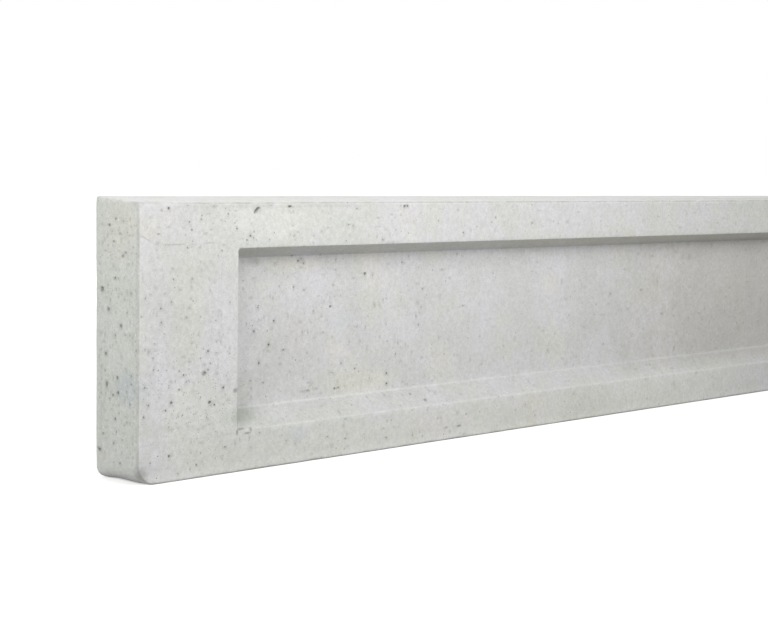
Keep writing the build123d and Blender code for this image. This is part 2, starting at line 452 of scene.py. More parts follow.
class Sheet:
    """A grid of points in the skin. Pits are let into its free cells."""

    def __init__(self, skin, numbers, along, across, turned=False):
        self.skin = skin
        self.numbers = numbers
        self.along = np.array(along)
        self.across = np.array(across)
        self.turned = turned
        self.whole = np.ones((len(along) - 1, len(across) - 1), bool)
        self.open = self.whole.copy()

    def cell(self, a, b):
        """The four points of a cell, in the order that faces outwards."""
        n = self.numbers
        corners = [n[a][b], n[a + 1][b], n[a + 1][b + 1], n[a][b + 1]]
        return corners[::-1] if self.turned else corners

    def at(self, u, v):
        """(point, outward direction, number of the nearest corner) at a place on the sheet."""
        a = int(np.clip(np.searchsorted(self.along, u, "right") - 1, 0, len(self.along) - 2))
        b = int(np.clip(np.searchsorted(self.across, v, "right") - 1, 0, len(self.across) - 2))
        s = (u - self.along[a]) / (self.along[a + 1] - self.along[a])
        t = (v - self.across[b]) / (self.across[b + 1] - self.across[b])
        n, p = self.numbers, self.skin.points
        p00, p10, p11, p01 = p[n[a][b]], p[n[a + 1][b]], p[n[a + 1][b + 1]], p[n[a][b + 1]]
        point = (p00 * (1 - s) + p10 * s) * (1 - t) + (p01 * (1 - s) + p11 * s) * t
        out = (p10 - p00).cross(p01 - p00).normalized()
        return point, (-out if self.turned else out), n[a][b]

    def block(self, pits):
        """The block of cells that a cluster of pits needs, as its first and last lines."""
        a0 = int(np.searchsorted(self.along, min(pit.u - pit.reach_u for pit in pits), "right")) - 1
        a1 = int(np.searchsorted(self.along, max(pit.u + pit.reach_u for pit in pits), "left"))
        b0 = int(np.searchsorted(self.across, min(pit.v - pit.reach_v for pit in pits), "right")) - 1
        b1 = int(np.searchsorted(self.across, max(pit.v + pit.reach_v for pit in pits), "left"))
        return a0, a1, b0, b1

    def let_in_all(self, pits, shape):
        """Lets each pit into the sheet, together with the ones that need the same cells."""
        clusters = []
        for pit in pits:
            cluster = [pit]
            near = True
            while near:
                a0, a1, b0, b1 = self.block(cluster)
                near = [other for other in clusters if other[1][0] < a1 and other[1][1] > a0
                        and other[1][2] < b1 and other[1][3] > b0]
                for other in near:
                    cluster += other[0]
                    clusters.remove(other)
            clusters.append((cluster, self.block(cluster)))
        return sum(len(cluster) for cluster, _ in clusters if self.let_in(cluster, shape))

    def let_in(self, pits, shape):
        """Lets a cluster of pits into the sheet, if the cells that it needs are free."""
        a0, a1, b0, b1 = self.block(pits)
        if min(a0, b0) < 0 or a1 >= len(self.along) or b1 >= len(self.across):
            return False
        if not self.open[a0:a1, b0:b1].all():
            return False
        loop = [(a, b0) for a in range(a0, a1)] + [(a1, b) for b in range(b0, b1)]
        loop += [(a, b1) for a in range(a1, a0, -1)] + [(a0, b) for b in range(b1, b0, -1)]
        border = len(loop)
        places = [(self.along[a], self.across[b]) for a, b in loop]
        edges = [(n, (n + 1) % border) for n in range(border)]
        rings = [(pit, ring, sunk) for pit in pits for ring, sunk in pit.rings(shape)]
        for _, ring, _ in rings:
            start = len(places)
            places += ring
            if len(ring) > 1:
                edges += [(start + n, start + (n + 1) % len(ring)) for n in range(len(ring))]
        low_u, low_v = self.along[a0], self.across[b0]
        flat = [Vector((x - low_u, y - low_v)) / MM for x, y in places]
        made, _, triangles, origins, _, _ = delaunay_2d_cdt(flat, edges, [], 1, SAME_PLACE)
        if len(made) != len(flat) or any(len(origin) != 1 for origin in origins):
            return False
        self.open[a0:a1, b0:b1] = False
        self.whole[a0:a1, b0:b1] = False
        numbers = [self.numbers[a][b] for a, b in loop]
        for pit, ring, sunk in rings:
            first = len(numbers)
            for place in ring:
                point, out, near = self.at(*place)
                marks = {name: values[near] for name, values in self.skin.marks.items()}
                # Painted shade: the inside of the pit is made darker, most at its bottom.
                marks["pit"] = pit.stain * (0.3 + 0.7 * sunk)
                numbers.append(self.skin.add(point - out * pit.depth * sunk, out, **marks))
            if sunk == 0:
                rim = numbers[first:]
                self.skin.rims += list(zip(rim, rim[1:] + rim[:1]))
        for triangle in triangles:
            corners = [origins[n][0] for n in triangle]
            a, b, c = (flat[n] for n in corners)
            face = [numbers[n] for n in corners]
            if ((b - a).cross(c - a) < 0) != self.turned:
                face.reverse()
            self.skin.faces.append(face)
        return True

    def close(self):
        """Adds the cells that no pit has taken."""
        for a, b in zip(*np.nonzero(self.whole)):
            self.skin.faces.append(self.cell(a, b))


def front_sheet(skin):
    """The front: rails, end blocks, recess walls and sunk panel."""
    s = skin.sizes
    columns, rows = column_lines(s), row_lines(s)
    front = -s.thickness / 2
    numbers = []
    for x, column_level in columns:
        line = []
        for z, row_level in rows:
            level = min(column_level, row_level)
            edge = min(x, s.length - x, z, s.height - z)
            if edge < s.front_arris:
                inset, fall = turn_arris(edge, s.front_arris)
                px, pz, ux, uz = skin.outline(x, z, inset)
                angle = math.pi / 4 * (1 + edge / s.front_arris)
                out = Vector((ux * math.cos(angle), -math.sin(angle), uz * math.cos(angle)))
                y = front + fall
            else:
                px, pz, _, _ = skin.outline(x, z, edge)
                out = Vector((0, -1, 0))
                y = front
            mouth = crease = wall = 0.0
            if level > OUTSIDE:
                share = WALL_SHARES[level]
                y = front + share * s.recess_depth
                px, pz = round_wall_corner(px, pz, share, s)
                mouth = MOUTH_RUB[level] if level < len(MOUTH_RUB) else 0.0
                wall = 1.0 if WALL_START <= level < LAST_LEVEL else 0.0
                on_ledge = row_level == level and z < s.height / 2
                crease = 1.0 if on_ledge and LAST_LEVEL - CREASE_LEVELS <= level < LAST_LEVEL else 0.0
            worn = 1 - ease(edge, s.front_arris * 0.3, s.front_arris * 1.1)
            line.append(skin.add(Vector((px, y, skin.lower_top(y, pz))), out, arris=worn, mouth=mouth, wall=wall,
                                 crease=crease, sunk=ease((y - front) / s.recess_depth, 0.3, 1.0)))
        numbers.append(line)
    sheet = Sheet(skin, numbers, [x for x, _ in columns], [z for z, _ in rows])
    for a in range(len(columns) - 1):
        for b in range(len(rows) - 1):
            sheet.open[a, b] = pits_allowed(columns[a:a + 2], rows[b:b + 2], s)
    return sheet, columns, rows


def pits_allowed(columns, rows, sizes):
    """True where a cell of the front lies on a plane: a rail, an end block, the ledge or the panel."""
    edge = min(columns[0][0], sizes.length - columns[1][0], rows[0][0], sizes.height - rows[1][0])
    if edge < sizes.front_arris - 1e-6:
        return False
    column_levels, row_levels = {level for _, level in columns}, {level for _, level in rows}
    if OUTSIDE in column_levels or OUTSIDE in row_levels:
        return len(column_levels) == 1 or len(row_levels) == 1 and OUTSIDE in row_levels
    if column_levels != {LAST_LEVEL}:
        return False
    plain_ledge = min(row_levels) >= LEDGE_FROM and max(row_levels) <= LEDGE_TO
    on_ledge = rows[0][0] < sizes.height / 2 and plain_ledge
    return row_levels == {LAST_LEVEL} or on_ledge


def round_wall_corner(x, z, share, sizes):
    """Rounds the corner of the recess's outline at this share of its depth."""
    half = sizes.length / 2 - sizes.end_block - wall_run(share, sizes.end_splay, sizes)
    low = sizes.bottom_rail + wall_run(share, sizes.ledge_splay, sizes)
    high = sizes.height - sizes.top_rail - wall_run(share, sizes.top_splay, sizes)
    radius = sizes.wall_corner
    side_x = -1 if x < 0 else 1
    corner_x = side_x * (half - radius)
    upper = z > sizes.height / 2
    corner_z = high - radius if upper else low + radius
    vx = (x - corner_x) * side_x
    vz = (z - corner_z) * (1 if upper else -1)
    if vx <= 0 or vz <= 0:
        return x, z
    shrink = max(vx, vz) / math.hypot(vx, vz)
    return corner_x + (x - corner_x) * shrink, corner_z + (z - corner_z) * shrink


def round_the_edge(columns, rows):
    """(column, row) numbers once round the front, anticlockwise as seen from the front."""
    last_a, last_b = len(columns) - 1, len(rows) - 1
    loop = [(a, 0) for a in range(last_a)] + [(last_a, b) for b in range(last_b)]
    return loop + [(a, last_b) for a in range(last_a, 0, -1)] + [(0, b) for b in range(last_b, 0, -1)]


def rim_and_back(skin, front, columns, rows):
    """The underside, ends and top edge, and the back with half as many lines. Returns their sheets."""
    s = skin.sizes
    half = s.thickness / 2
    loop = round_the_edge(columns, rows)
    arris, far_arris = s.front_arris, s.back_arris
    change = s.thickness - s.crest
    fine = [arris / 3, arris * 2 / 3, arris] + spread(arris, change, RIM_STEP) + [change]
    coarse = [s.thickness - far_arris * 1.6, s.thickness - far_arris, s.thickness - far_arris / 2]

    def ring(t, places):
        line = []
        for a, b in places:
            x, z = columns[a][0], rows[b][0]
            if t < arris:
                along, inset = turn_arris(t, arris)
                y, angle, facing = -half + along, math.pi / 4 * (1 - t / arris), -1
            elif t > s.thickness - far_arris:
                along, inset = turn_arris(s.thickness - t, far_arris)
                y, angle, facing = half - along, math.pi / 4 * (1 - (s.thickness - t) / far_arris), 1
            else:
                y, inset, angle, facing = -half + t, 0.0, 0.0, 1
            px, pz, ux, uz = skin.outline(x, z, inset)
            out = Vector((ux * math.cos(angle), facing * math.sin(angle), uz * math.cos(angle)))
            worn = 1 - ease(t, arris * 0.3, arris * 1.1)
            worn_back = 0.6 * (1 - ease(s.thickness - t, far_arris * 0.5, far_arris * 2))
            line.append(skin.add(Vector((px, y, skin.lower_top(y, pz))), out, arris=max(worn, worn_back),
                                 end_face=abs(ux) ** 3))
        return line

    rings = [[front.numbers[a][b] for a, b in loop]] + [ring(t, loop) for t in fine]
    for number in rings[0]:
        skin.marks["end_face"][number] = 0.5 * abs(skin.out[number].x) ** 3
    for near, far in zip(rings[:3], rings[1:4]):
        join(skin, near, far)
    along = [0.0]
    for (a0, b0), (a1, b1) in zip(loop, loop[1:] + loop[:1]):
        along.append(along[-1] + abs(columns[a1][0] - columns[a0][0]) + abs(rows[b1][0] - rows[b0][0]))
    plain = rings[3:]
    numbers = [[line[n % len(loop)] for line in plain] for n in range(len(loop) + 1)]
    rim = Sheet(skin, numbers, along, [arris] + fine[3:], turned=True)
    for n, (a, b) in enumerate(loop):
        after = loop[(n + 1) % len(loop)]
        if not all(clear_of_corner(columns[i][0], rows[j][0], s) for i, j in ((a, b), after)):
            rim.open[n, :] = False
    half_loop = loop[::2]
    halved = ring(coarse[0], half_loop)
    wide = rings[-1]
    for n in range(len(half_loop)):
        a, b, c = wide[2 * n], wide[2 * n + 1], wide[(2 * n + 2) % len(wide)]
        d, e = halved[n], halved[(n + 1) % len(halved)]
        skin.faces += [[a, d, b], [b, d, e], [b, e, c]]
    for t in coarse[1:]:
        line = ring(t, half_loop)
        join(skin, halved, line)
        halved = line
    back_columns, back_rows = columns[::2], rows[::2]
    back = back_sheet(skin, back_columns, back_rows)
    edge = [back.numbers[a][b] for a, b in round_the_edge(back_columns, back_rows)]
    join(skin, halved, edge)
    return rim, back


def join(skin, near, far):
    """A closed band of cells between two rings with the same number of points."""
    for n in range(len(near)):
        m = (n + 1) % len(near)
        skin.faces.append([near[n], far[n], far[m], near[m]])


def clear_of_corner(x, z, sizes):
    """True where a place on the outline isn't on a rounded corner."""
    corner = sizes.lower_corner + 1 * MM
    return not (min(x, sizes.length - x) < corner and min(z, sizes.height - z) < corner)


def back_sheet(skin, columns, rows):
    """The plain back."""
    s = skin.sizes
    back = s.thickness / 2
    numbers = []
    for x, _ in columns:
        line = []
        for z, _ in rows:
            edge = min(x, s.length - x, z, s.height - z)
            inset, fall = turn_arris(edge, s.back_arris)
            px, pz, ux, uz = skin.outline(x, z, inset)
            angle = math.pi / 4 * (1 + min(1, edge / s.back_arris))
            out = Vector((ux * math.cos(angle), math.sin(angle), uz * math.cos(angle)))
            line.append(skin.add(Vector((px, back - fall, pz)), out, rear=1.0,
                                 arris=0.6 * (1 - ease(edge, 0, s.back_arris * 2))))
        numbers.append(line)
    sheet = Sheet(skin, numbers, [x for x, _ in columns], [z for z, _ in rows], turned=True)
    sheet.open[:2, :] = sheet.open[-2:, :] = False
    sheet.open[:, :2] = sheet.open[:, -2:] = False
    return sheet


# ---------------------------------------------------------------- pits, wear and breaks


def pit_radius(draw):
    """Most pits are small, and a few are several times as large."""
    smallest, usual_extra, largest = 0.24, 0.115, 1.2
    return min(largest, smallest + draw.expovariate(1 / usual_extra)) * MM


def scatter_pits(sheet, count, low, high, draw, density=None):
    """Lets about this many pits into a sheet, between two places on it."""
    made = 0
    for _ in range(count * 4):
        if made >= count:
            break
        u, v = draw.uniform(low[0], high[0]), draw.uniform(low[1], high[1])
        radius, stretch = pit_radius(draw), draw.uniform(1.0, 1.4)
        pit = Pit(u, v, radius * stretch, radius / stretch, radius * draw.uniform(0.6, 1.2),
                  draw.uniform(0, math.pi), draw.uniform(0.45, 1.0))
        if density and draw.random() > density(u, v):
            continue
        if sheet.let_in([pit], draw):
            made += 1
    return made


def add_pits(skin, front, rim, back, finish):
    """The pits that the visible end shows, and then scattered ones on every face."""
    draw = random.Random(41)
    width, height, thickness = skin.sizes.length, skin.sizes.height, skin.sizes.thickness
    front_y = -thickness / 2
    # the rim runs along the underside first: this is where each of the other sides starts, and its end
    far_end, top, near_end, whole = width, width + height, 2 * width + height, 2 * (width + height)

    def known(u, v, half_u, half_v, depth, turn=0.0):
        # Painted shade: the deeper a pit is for its size, the darker its inside.
        stain = min(0.95, 0.15 + depth / math.sqrt(half_u * half_v))
        return Pit(u, v, half_u * MM, half_v * MM, depth * MM, turn, stain)

    on_end, on_front = [], []
    for inwards, up, half_across, half_up, depth in END_PITS:
        level = skin.before_slope(front_y + inwards * MM, up * MM)
        on_end.append(known(whole - level, inwards * MM, half_up, half_across, depth))
    for pit, turn in [(pit, 0.0) for pit in FRONT_PITS] + [(LEANING_PIT, LEAN)]:
        x, up, half_x, half_up, depth = pit
        level = skin.before_slope(front_y, up * MM)
        on_front.append(known(width / 2 + x * MM, level, half_x, half_up, depth, turn))
    rim.let_in_all(on_end, draw)
    front.let_in_all(on_front, draw)

    def crowding(u, v):
        """Pits lie closest at the near end, thin out along the near half and grow a little at the far end."""
        by_near_end = 1 - 0.75 * ease(u, 0.05, 0.45)
        return by_near_end if u < width / 2 else 0.3 + 0.3 * ease(u, width - 0.4, width)

    share = finish.pits / sum(SCATTERED_PITS.values())
    for sheet, side, low, high, density in (
            (front, "front", (0, 0), (width, height), crowding),
            (rim, "near end", (near_end, 0), (whole, thickness), None),
            (rim, "far end", (far_end, 0), (top, thickness), None),
            (rim, "top", (top, 0), (near_end, thickness), None),
            (rim, "underside", (0, 0), (far_end, thickness), None)):
        scatter_pits(sheet, int(SCATTERED_PITS[side] * share), low, high, draw, density)
    scatter_pits(back, finish.back_pits, (0, 0), (width, height), draw)


def waves(p):
    """Long and shorter waves in the cast faces."""
    return 0.5 + 0.35 * noise.noise(p * 11) + 0.3 * noise.noise(p * 34 + Vector((7, 3, 1)))


def float_marks(p):
    """Marks of the hand float on the back: long along the board and narrow up it."""
    return 0.5 + noise.noise(Vector((p.x * 16, 5, p.z * 60))) + 0.6 * noise.noise(p * 140)


def raggedness(p):
    """How worn an arris is at a place: a little everywhere, and deeply in a few places."""
    ragged = 0.35 + 0.45 * noise.noise(p * 95) + 0.5 * noise.noise(p * 260 + Vector((2, 9, 4)))
    return ragged + max(0.0, noise.noise(p * 38 + Vector((3, 5, 8))) - 0.28) * 2.6


def rubbed_corner(point, sizes):
    """How far the foot of an end and its front corner are rubbed back at a point, as a shift."""
    side = math.copysign(1, point[0])
    end, front, back = side * sizes.length / 2, -sizes.thickness / 2, sizes.thickness / 2
    foot = math.hypot(point[0] - end, point[2])
    corner = math.dist(point, (end, front, 0))
    by_foot = ease(FOOT_REACH - foot, 0, FOOT_REACH) * (1 - ease(point[1], 0.3 * back, 0.8 * back))
    by_corner = ease(CORNER_REACH - corner, 0, CORNER_REACH)
    return (np.array((-side, 0, 1)) * math.sqrt(1 / 2) * FOOT_WEAR * by_foot
            + np.array((-side, 1, 1)) * math.sqrt(1 / 3) * CORNER_WEAR * by_corner)


def wear(points, out, marks, sizes, finish):
    """Pushes every point inwards a little: uneven faces, worn arrises and rubbed lower corners."""
    arris, mouth, rear = marks["arris"], marks["mouth"], marks["rear"]
    fall, shift = np.zeros(len(points)), np.zeros((len(points), 3))
    for n, point in enumerate(points):
        p = Vector(point)
        fall[n] = finish.unevenness * max(0.0, waves(p))
        if rear[n]:
            fall[n] += finish.unevenness * 0.5 * max(0.0, float_marks(p)) * rear[n]
        edge = max(arris[n], 0.5 * mouth[n])
        if edge > 0:
            fall[n] += finish.wear * edge * max(0.0, raggedness(p))
        shift[n] = rubbed_corner(point, sizes)
    return points - out * fall[:, None] + shift


def all_bites(sizes):
    """(centre, reach) of the small breaks: those of the visible end, and scattered ones."""
    half, front = sizes.length / 2, -sizes.thickness / 2
    bites = [(Vector(bite[:3]) * MM, bite[3] * MM) for bite in KNOWN_BITES]
    draw = random.Random(77)
    for _ in range(SCATTERED_BITES):
        reach = draw.uniform(1.8, 3.6) * MM
        bite = draw.uniform(0.35, 0.9) * MM
        x = draw.uniform(-half, half)
        side = draw.choice((-1, 1))
        back_off = (reach - bite) * math.sqrt(0.5)
        place = draw.choice(("foot", "end", "end", "back"))
        if place == "foot":
            centre = Vector((x, front - back_off, -back_off))
        elif place == "end":
            centre = Vector((side * (half + back_off), front - back_off, draw.uniform(0.01, 0.19)))
        else:
            centre = Vector((x, -front + back_off, draw.choice((-back_off, sizes.height + back_off))))
        bites.append((centre, reach))
    return bites


def break_out(points, sizes):
    """Breaks small pieces off the arrises: points inside a bite move to its surface."""
    for centre, reach in all_bites(sizes):
        offset = points - np.array(centre)
        distance = np.linalg.norm(offset, axis=1)
        hit = distance < reach
        points[hit] = np.array(centre) + offset[hit] / distance[hit, None] * reach
    return points


def board_mesh(sizes, finish):
    """The whole skin as a mesh, with its marks as attributes for the material."""
    skin = Skin(sizes)
    front, columns, rows = front_sheet(skin)
    rim, back = rim_and_back(skin, front, columns, rows)
    add_pits(skin, front, rim, back, finish)
    for sheet in (front, rim, back):
        sheet.close()
    points = np.array([tuple(p) for p in skin.points])
    out = np.array([tuple(p) for p in skin.out])
    marks = {name: np.array(values) for name, values in skin.marks.items()}
    points = break_out(wear(points, out, marks, sizes, finish), sizes)
    points = np.clip(points, np.array(BOARD_LOW), np.array(BOARD_HIGH))
    kept = sorted({n for face in skin.faces for n in face})
    new = {n: place for place, n in enumerate(kept)}
    mesh = bpy.data.meshes.new(PIECE)
    mesh.from_pydata([tuple(p) for p in points[kept]], [], [[new[n] for n in face] for face in skin.faces])
    for name, values in marks.items():
        attribute = mesh.attributes.new(name, "FLOAT", "POINT")
        attribute.data.foreach_set("value", values[kept].astype(np.float32))
    mesh.polygons.foreach_set("use_smooth", [True] * len(mesh.polygons))
    sharp = {frozenset((new[a], new[b])) for a, b in skin.rims}
    for edge in mesh.edges:
        edge.use_edge_sharp = frozenset(edge.vertices) in sharp
    mesh.validate()
    mesh.update()
    return mesh


# ---------------------------------------------------------------- shader helpers


class Graph:
    """Short ways to add nodes to a node tree."""

    def __init__(self, tree):
        self.tree = tree

    def node(self, kind, values=None, **settings):
        """Adds a node. values holds its inputs, as numbers or as other nodes' outputs."""
        node = self.tree.nodes.new(kind)
        for name, value in settings.items():
            setattr(node, name, value)
        for name, value in (values or {}).items():
            self.feed(node.inputs[name], value)
        return node

    def feed(self, socket, value):
        """Links an output to a socket, or writes a number or colour on it."""
        if isinstance(value, bpy.types.NodeSocket):
            self.tree.links.new(value, socket)
        elif socket.type == "RGBA":
            socket.default_value = (*value[:3], 1.0)
        else:
            socket.default_value = value

    def math(self, operation, a, b=0.0, clamp=False):
        """One sum of two values."""
        return self.node("ShaderNodeMath", {0: a, 1: b}, operation=operation, use_clamp=clamp).outputs[0]

    def ramp(self, value, low, high, start=0.0, end=1.0):
        """A smooth step of a value, from start at low to end at high."""
        node = self.node("ShaderNodeMapRange", {"Value": value, "From Min": low, "From Max": high,
                                                "To Min": start, "To Max": end},
                         interpolation_type="SMOOTHSTEP")
        return node.outputs[0]

    def less(self, value, mask, share=1.0):
        """A value that a mask lowers by up to a share of it."""
        return self.math("MULTIPLY", value, self.math("SUBTRACT", 1.0, self.math("MULTIPLY", mask, share)))

    def mix(self, share, a, b, blend="MIX"):
        """Mixes two colours."""
        node = self.node("ShaderNodeMix", data_type="RGBA", blend_type=blend)
        self.feed(node.inputs[0], share)
        self.feed(node.inputs[6], a)
        self.feed(node.inputs[7], b)
        return node.outputs[2]

    def noise(self, vector, scale, detail=2.0, rough=0.5, offset=0.0):
        """A soft noise from 0 to 1. The offset gives a different one."""
        if offset:
            vector = self.node("ShaderNodeVectorMath", {0: vector, 1: (offset, offset * 0.7, -offset)},
                               operation="ADD").outputs[0]
        return self.node("ShaderNodeTexNoise", {"Vector": vector, "Scale": scale, "Detail": detail,
                                                "Roughness": rough}).outputs["Fac"]

    def group(self, tree, values):
        """Places a node group with its own values."""
        node = self.node("ShaderNodeGroup")
        node.node_tree = tree
        for name, value in values.items():
            self.feed(node.inputs[name], value)
        return node


def new_group(name, inputs, outputs):
    """An empty shader node group with its sockets: (tree, graph, input node, output node)."""
    tree = bpy.data.node_groups.new(name, "ShaderNodeTree")
    for socket, kind, default in inputs:
        made = tree.interface.new_socket(name=socket, in_out="INPUT", socket_type=kind)
        if default is not None:
            made.default_value = default
    for socket, kind in outputs:
        tree.interface.new_socket(name=socket, in_out="OUTPUT", socket_type=kind)
    graph = Graph(tree)
    return tree, graph, graph.node("NodeGroupInput"), graph.node("NodeGroupOutput")


def bloom_group():
    """Soft cloudy patches at two sizes, as masks for the two tints and a tone."""
    tree, g, into, out = new_group(
        "Cement bloom",
        [("Vector", "NodeSocketVector", None), ("Patch size", "NodeSocketFloat", 0.06),
         ("Strength", "NodeSocketFloat", 0.5)],
        [("Cool", "NodeSocketFloat"), ("Warm", "NodeSocketFloat"), ("Tone", "NodeSocketFloat")])
    place = into.outputs["Vector"]
    scale = g.math("DIVIDE", 1.0, into.outputs["Patch size"])
    wide = g.noise(place, scale, 3.0, 0.55)
    other = g.noise(place, scale, 3.0, 0.55, offset=4.3)
    fine = g.noise(place, g.math("MULTIPLY", scale, 3.4), 3.0, 0.6, offset=9.1)
    cool = g.ramp(g.math("ADD", wide, g.math("MULTIPLY", fine, 0.25)), 0.56, 0.78)
    warm = g.ramp(g.math("ADD", other, g.math("MULTIPLY", fine, -0.2)), 0.42, 0.62)
    g.feed(out.inputs["Cool"], g.math("MULTIPLY", cool, into.outputs["Strength"], clamp=True))
    g.feed(out.inputs["Warm"], g.math("MULTIPLY", warm, into.outputs["Strength"], clamp=True))
    tone = g.math("ADD", g.math("MULTIPLY", wide, 0.5), g.math("MULTIPLY", fine, 0.5))
    g.feed(out.inputs["Tone"], tone)
    return tree


def pore_group():
    """Fine pores: a mask that is 1 inside a pore, from cells of which only some hold one."""
    tree, g, into, out = new_group(
        "Fine pores",
        [("Vector", "NodeSocketVector", None), ("Spacing", "NodeSocketFloat", 0.004),
         ("Size", "NodeSocketFloat", 0.0004), ("Share", "NodeSocketFloat", 0.5)],
        [("Mask", "NodeSocketFloat")])
    spacing = into.outputs["Spacing"]
    scale = g.math("DIVIDE", 1.0, spacing)
    cells = g.node("ShaderNodeTexVoronoi", {"Vector": into.outputs["Vector"], "Scale": scale, "Randomness": 1.0})
    shade = g.node("ShaderNodeSeparateColor", {0: cells.outputs["Color"]})
    held = g.math("LESS_THAN", shade.outputs[0], into.outputs["Share"])
    width = g.math("DIVIDE", into.outputs["Size"], spacing)
    reach = g.math("MULTIPLY", width, g.math("ADD", 0.5, shade.outputs[1]))
    inside = g.node("ShaderNodeMapRange", {"Value": cells.outputs["Distance"], "From Min": reach,
                                           "From Max": g.math("MULTIPLY", reach, 0.6),
                                           "To Min": 0.0, "To Max": 1.0}, interpolation_type="SMOOTHSTEP")
    g.feed(out.inputs["Mask"], g.math("MULTIPLY", inside.outputs[0], held))
    return tree


def grain_group():
    """Sandy grain: a value round a half, and a height."""
    tree, g, into, out = new_group(
        "Sandy grain",
        [("Vector", "NodeSocketVector", None), ("Grain size", "NodeSocketFloat", 0.0012)],
        [("Value", "NodeSocketFloat"), ("Height", "NodeSocketFloat")])
    place = into.outputs["Vector"]
    scale = g.math("DIVIDE", 1.0, into.outputs["Grain size"])
    coarse = g.noise(place, g.math("MULTIPLY", scale, 0.35), 2.0, 0.6)
    fine = g.noise(place, scale, 2.0, 0.6, offset=2.7)
    g.feed(out.inputs["Value"], g.math("ADD", g.math("MULTIPLY", coarse, 0.5), g.math("MULTIPLY", fine, 0.5)))
    g.feed(out.inputs["Height"], g.math("ADD", g.math("MULTIPLY", coarse, 0.6), g.math("MULTIPLY", fine, 0.4)))
    return tree


def patch_group():
    """A soft patch round a place, with a ragged edge: a mask."""
    tree, g, into, out = new_group(
        "Local patch",
        [("Vector", "NodeSocketVector", None), ("Place", "NodeSocketVector", None),
         ("Reach", "NodeSocketVector", (0.01, 0.01, 0.01)), ("Raggedness", "NodeSocketFloat", 0.4)],
        [("Mask", "NodeSocketFloat")])
    away = g.node("ShaderNodeVectorMath", {0: into.outputs["Vector"], 1: into.outputs["Place"]},
                  operation="SUBTRACT").outputs[0]
    share = g.node("ShaderNodeVectorMath", {0: away, 1: into.outputs["Reach"]}, operation="DIVIDE").outputs[0]
    distance = g.node("ShaderNodeVectorMath", {0: share}, operation="LENGTH").outputs["Value"]
    ragged = g.math("MULTIPLY", g.math("SUBTRACT", g.noise(into.outputs["Vector"], 160.0, 3.0), 0.5),
                    into.outputs["Raggedness"])
    g.feed(out.inputs["Mask"], g.ramp(g.math("ADD", distance, g.math("MULTIPLY", ragged, 2.0)), 1.0, 0.25))
    return tree


def line_group():
    """A thin line at a height: a mask. It wanders a little, fades in places and can rise at its start."""
    tree, g, into, out = new_group(
        "Mould line",
        [("Vector", "NodeSocketVector", None), ("Height", "NodeSocketFloat", 0.1),
         ("Width", "NodeSocketFloat", 0.0005), ("Rise", "NodeSocketFloat", 0.0),
         ("From", "NodeSocketFloat", -1.0), ("To", "NodeSocketFloat", 1.0)],
        [("Mask", "NodeSocketFloat")])
    place = into.outputs["Vector"]
    parts = g.node("ShaderNodeSeparateXYZ", {0: place})
    x, z = parts.outputs[0], parts.outputs[2]
    wander = g.math("MULTIPLY", g.math("SUBTRACT", g.noise(place, 22.0, 2.0), 0.5), 0.004)
    start = g.ramp(x, into.outputs["From"], g.math("ADD", into.outputs["From"], 0.016), 1.0, 0.0)
    height = g.math("ADD", into.outputs["Height"], g.math("MULTIPLY", start, into.outputs["Rise"]))
    away = g.math("ABSOLUTE", g.math("SUBTRACT", g.math("SUBTRACT", z, height), wander))
    line = g.ramp(g.math("DIVIDE", away, into.outputs["Width"]), 1.0, 0.2)
    kept = g.ramp(g.noise(place, 60.0, 2.0, offset=6.0), 0.28, 0.46)
    after = g.ramp(x, g.math("SUBTRACT", into.outputs["From"], 0.004), g.math("ADD", into.outputs["From"], 0.004))
    before = g.ramp(x, g.math("ADD", into.outputs["To"], 0.006), g.math("SUBTRACT", into.outputs["To"], 0.006))
    g.feed(out.inputs["Mask"], g.math("MULTIPLY", g.math("MULTIPLY", line, kept), g.math("MULTIPLY", after, before)))
    return tree
